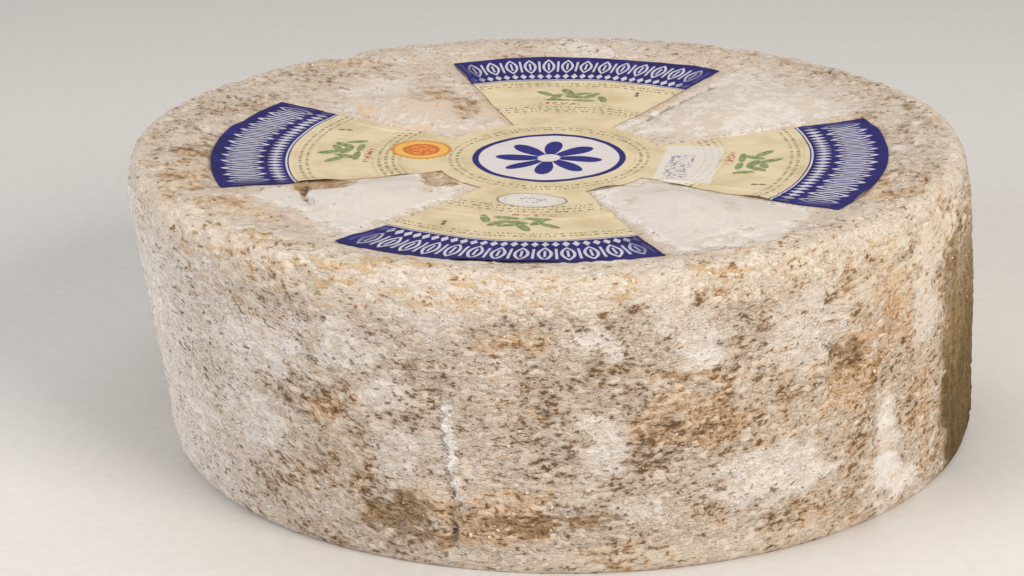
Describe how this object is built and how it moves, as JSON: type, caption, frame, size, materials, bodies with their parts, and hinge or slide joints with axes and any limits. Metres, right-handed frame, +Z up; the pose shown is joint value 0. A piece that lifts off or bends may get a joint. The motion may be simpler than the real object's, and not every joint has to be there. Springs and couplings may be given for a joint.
{
  "type": "castelmagno cheese",
  "caption": "Whole round wheel of aged mountain cheese with a dry mottled rind, a dished top and a four-armed paper label pressed into it.",
  "frame": {"origin": "under the middle of the wheel, on the flat of its base", "axes": "+Z up through the wheel, -Y to the side that the picture shows in front, +X to the right in the picture"},
  "size_m": [0.2523, 0.2506, 0.0877],
  "materials": {
    "natural_rind": "dry matte rind, off-white mould over tan and brown crust",
    "label_paper": "cream coated paper, printed in deep blue"
  },
  "bodies": {
    "root": {"cheese_wheel": "natural_rind", "paper_label": "label_paper"}
  },
  "joints": []
}
